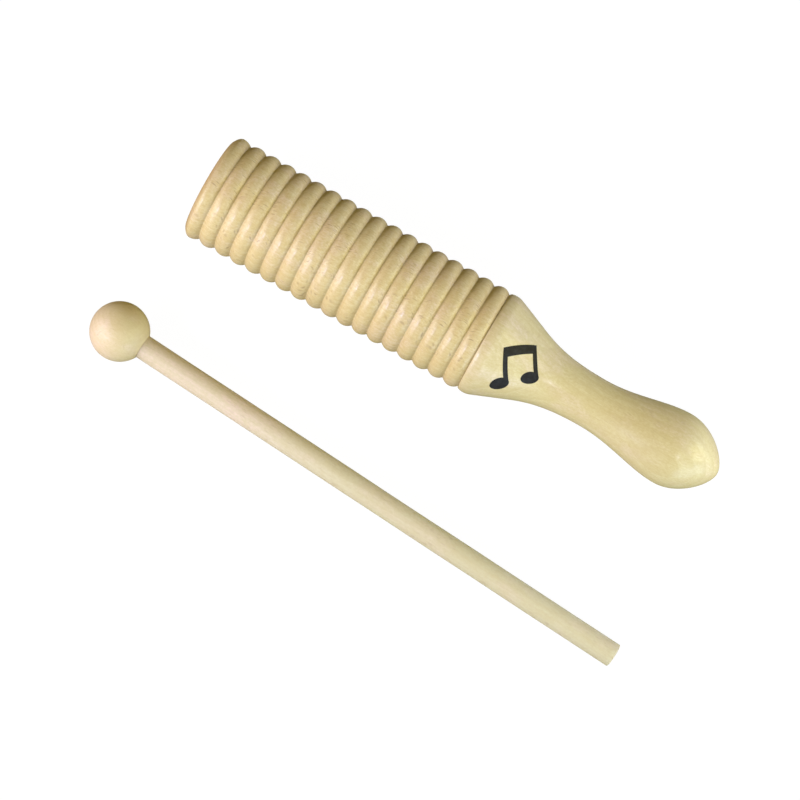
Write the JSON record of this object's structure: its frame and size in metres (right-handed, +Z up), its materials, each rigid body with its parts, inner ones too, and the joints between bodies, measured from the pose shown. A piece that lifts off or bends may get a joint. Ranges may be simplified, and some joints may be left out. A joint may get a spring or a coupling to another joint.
{
  "type": "guiro with beater",
  "caption": "Hollow wooden guiro with a ribbed barrel, open at one end, and a turned handle, with a loose ball-headed wooden beater lying beside it.",
  "frame": {"origin": "on the surface the pair lies on, under the middle of their common box", "axes": "+X along the guiro towards its handle, +Z up, and the beater lies at -Y"},
  "size_m": [0.2498, 0.1104, 0.0448],
  "materials": {
    "barrel_wood": "satin",
    "handle_wood": "satin",
    "shaft_wood": "satin",
    "ball_wood": "satin",
    "print_ink": "matte"
  },
  "bodies": {
    "guiro": {"ribbed_barrel": "barrel_wood", "handle": "handle_wood"},
    "beater": {"beater_shaft": "shaft_wood", "beater_ball": "ball_wood"}
  },
  "joints": [
    {"name": "beater_lift", "type": "slide", "parent": "guiro", "child": "beater", "axis": [0, 0, 1], "range_m": [0, 0.08]}
  ]
}
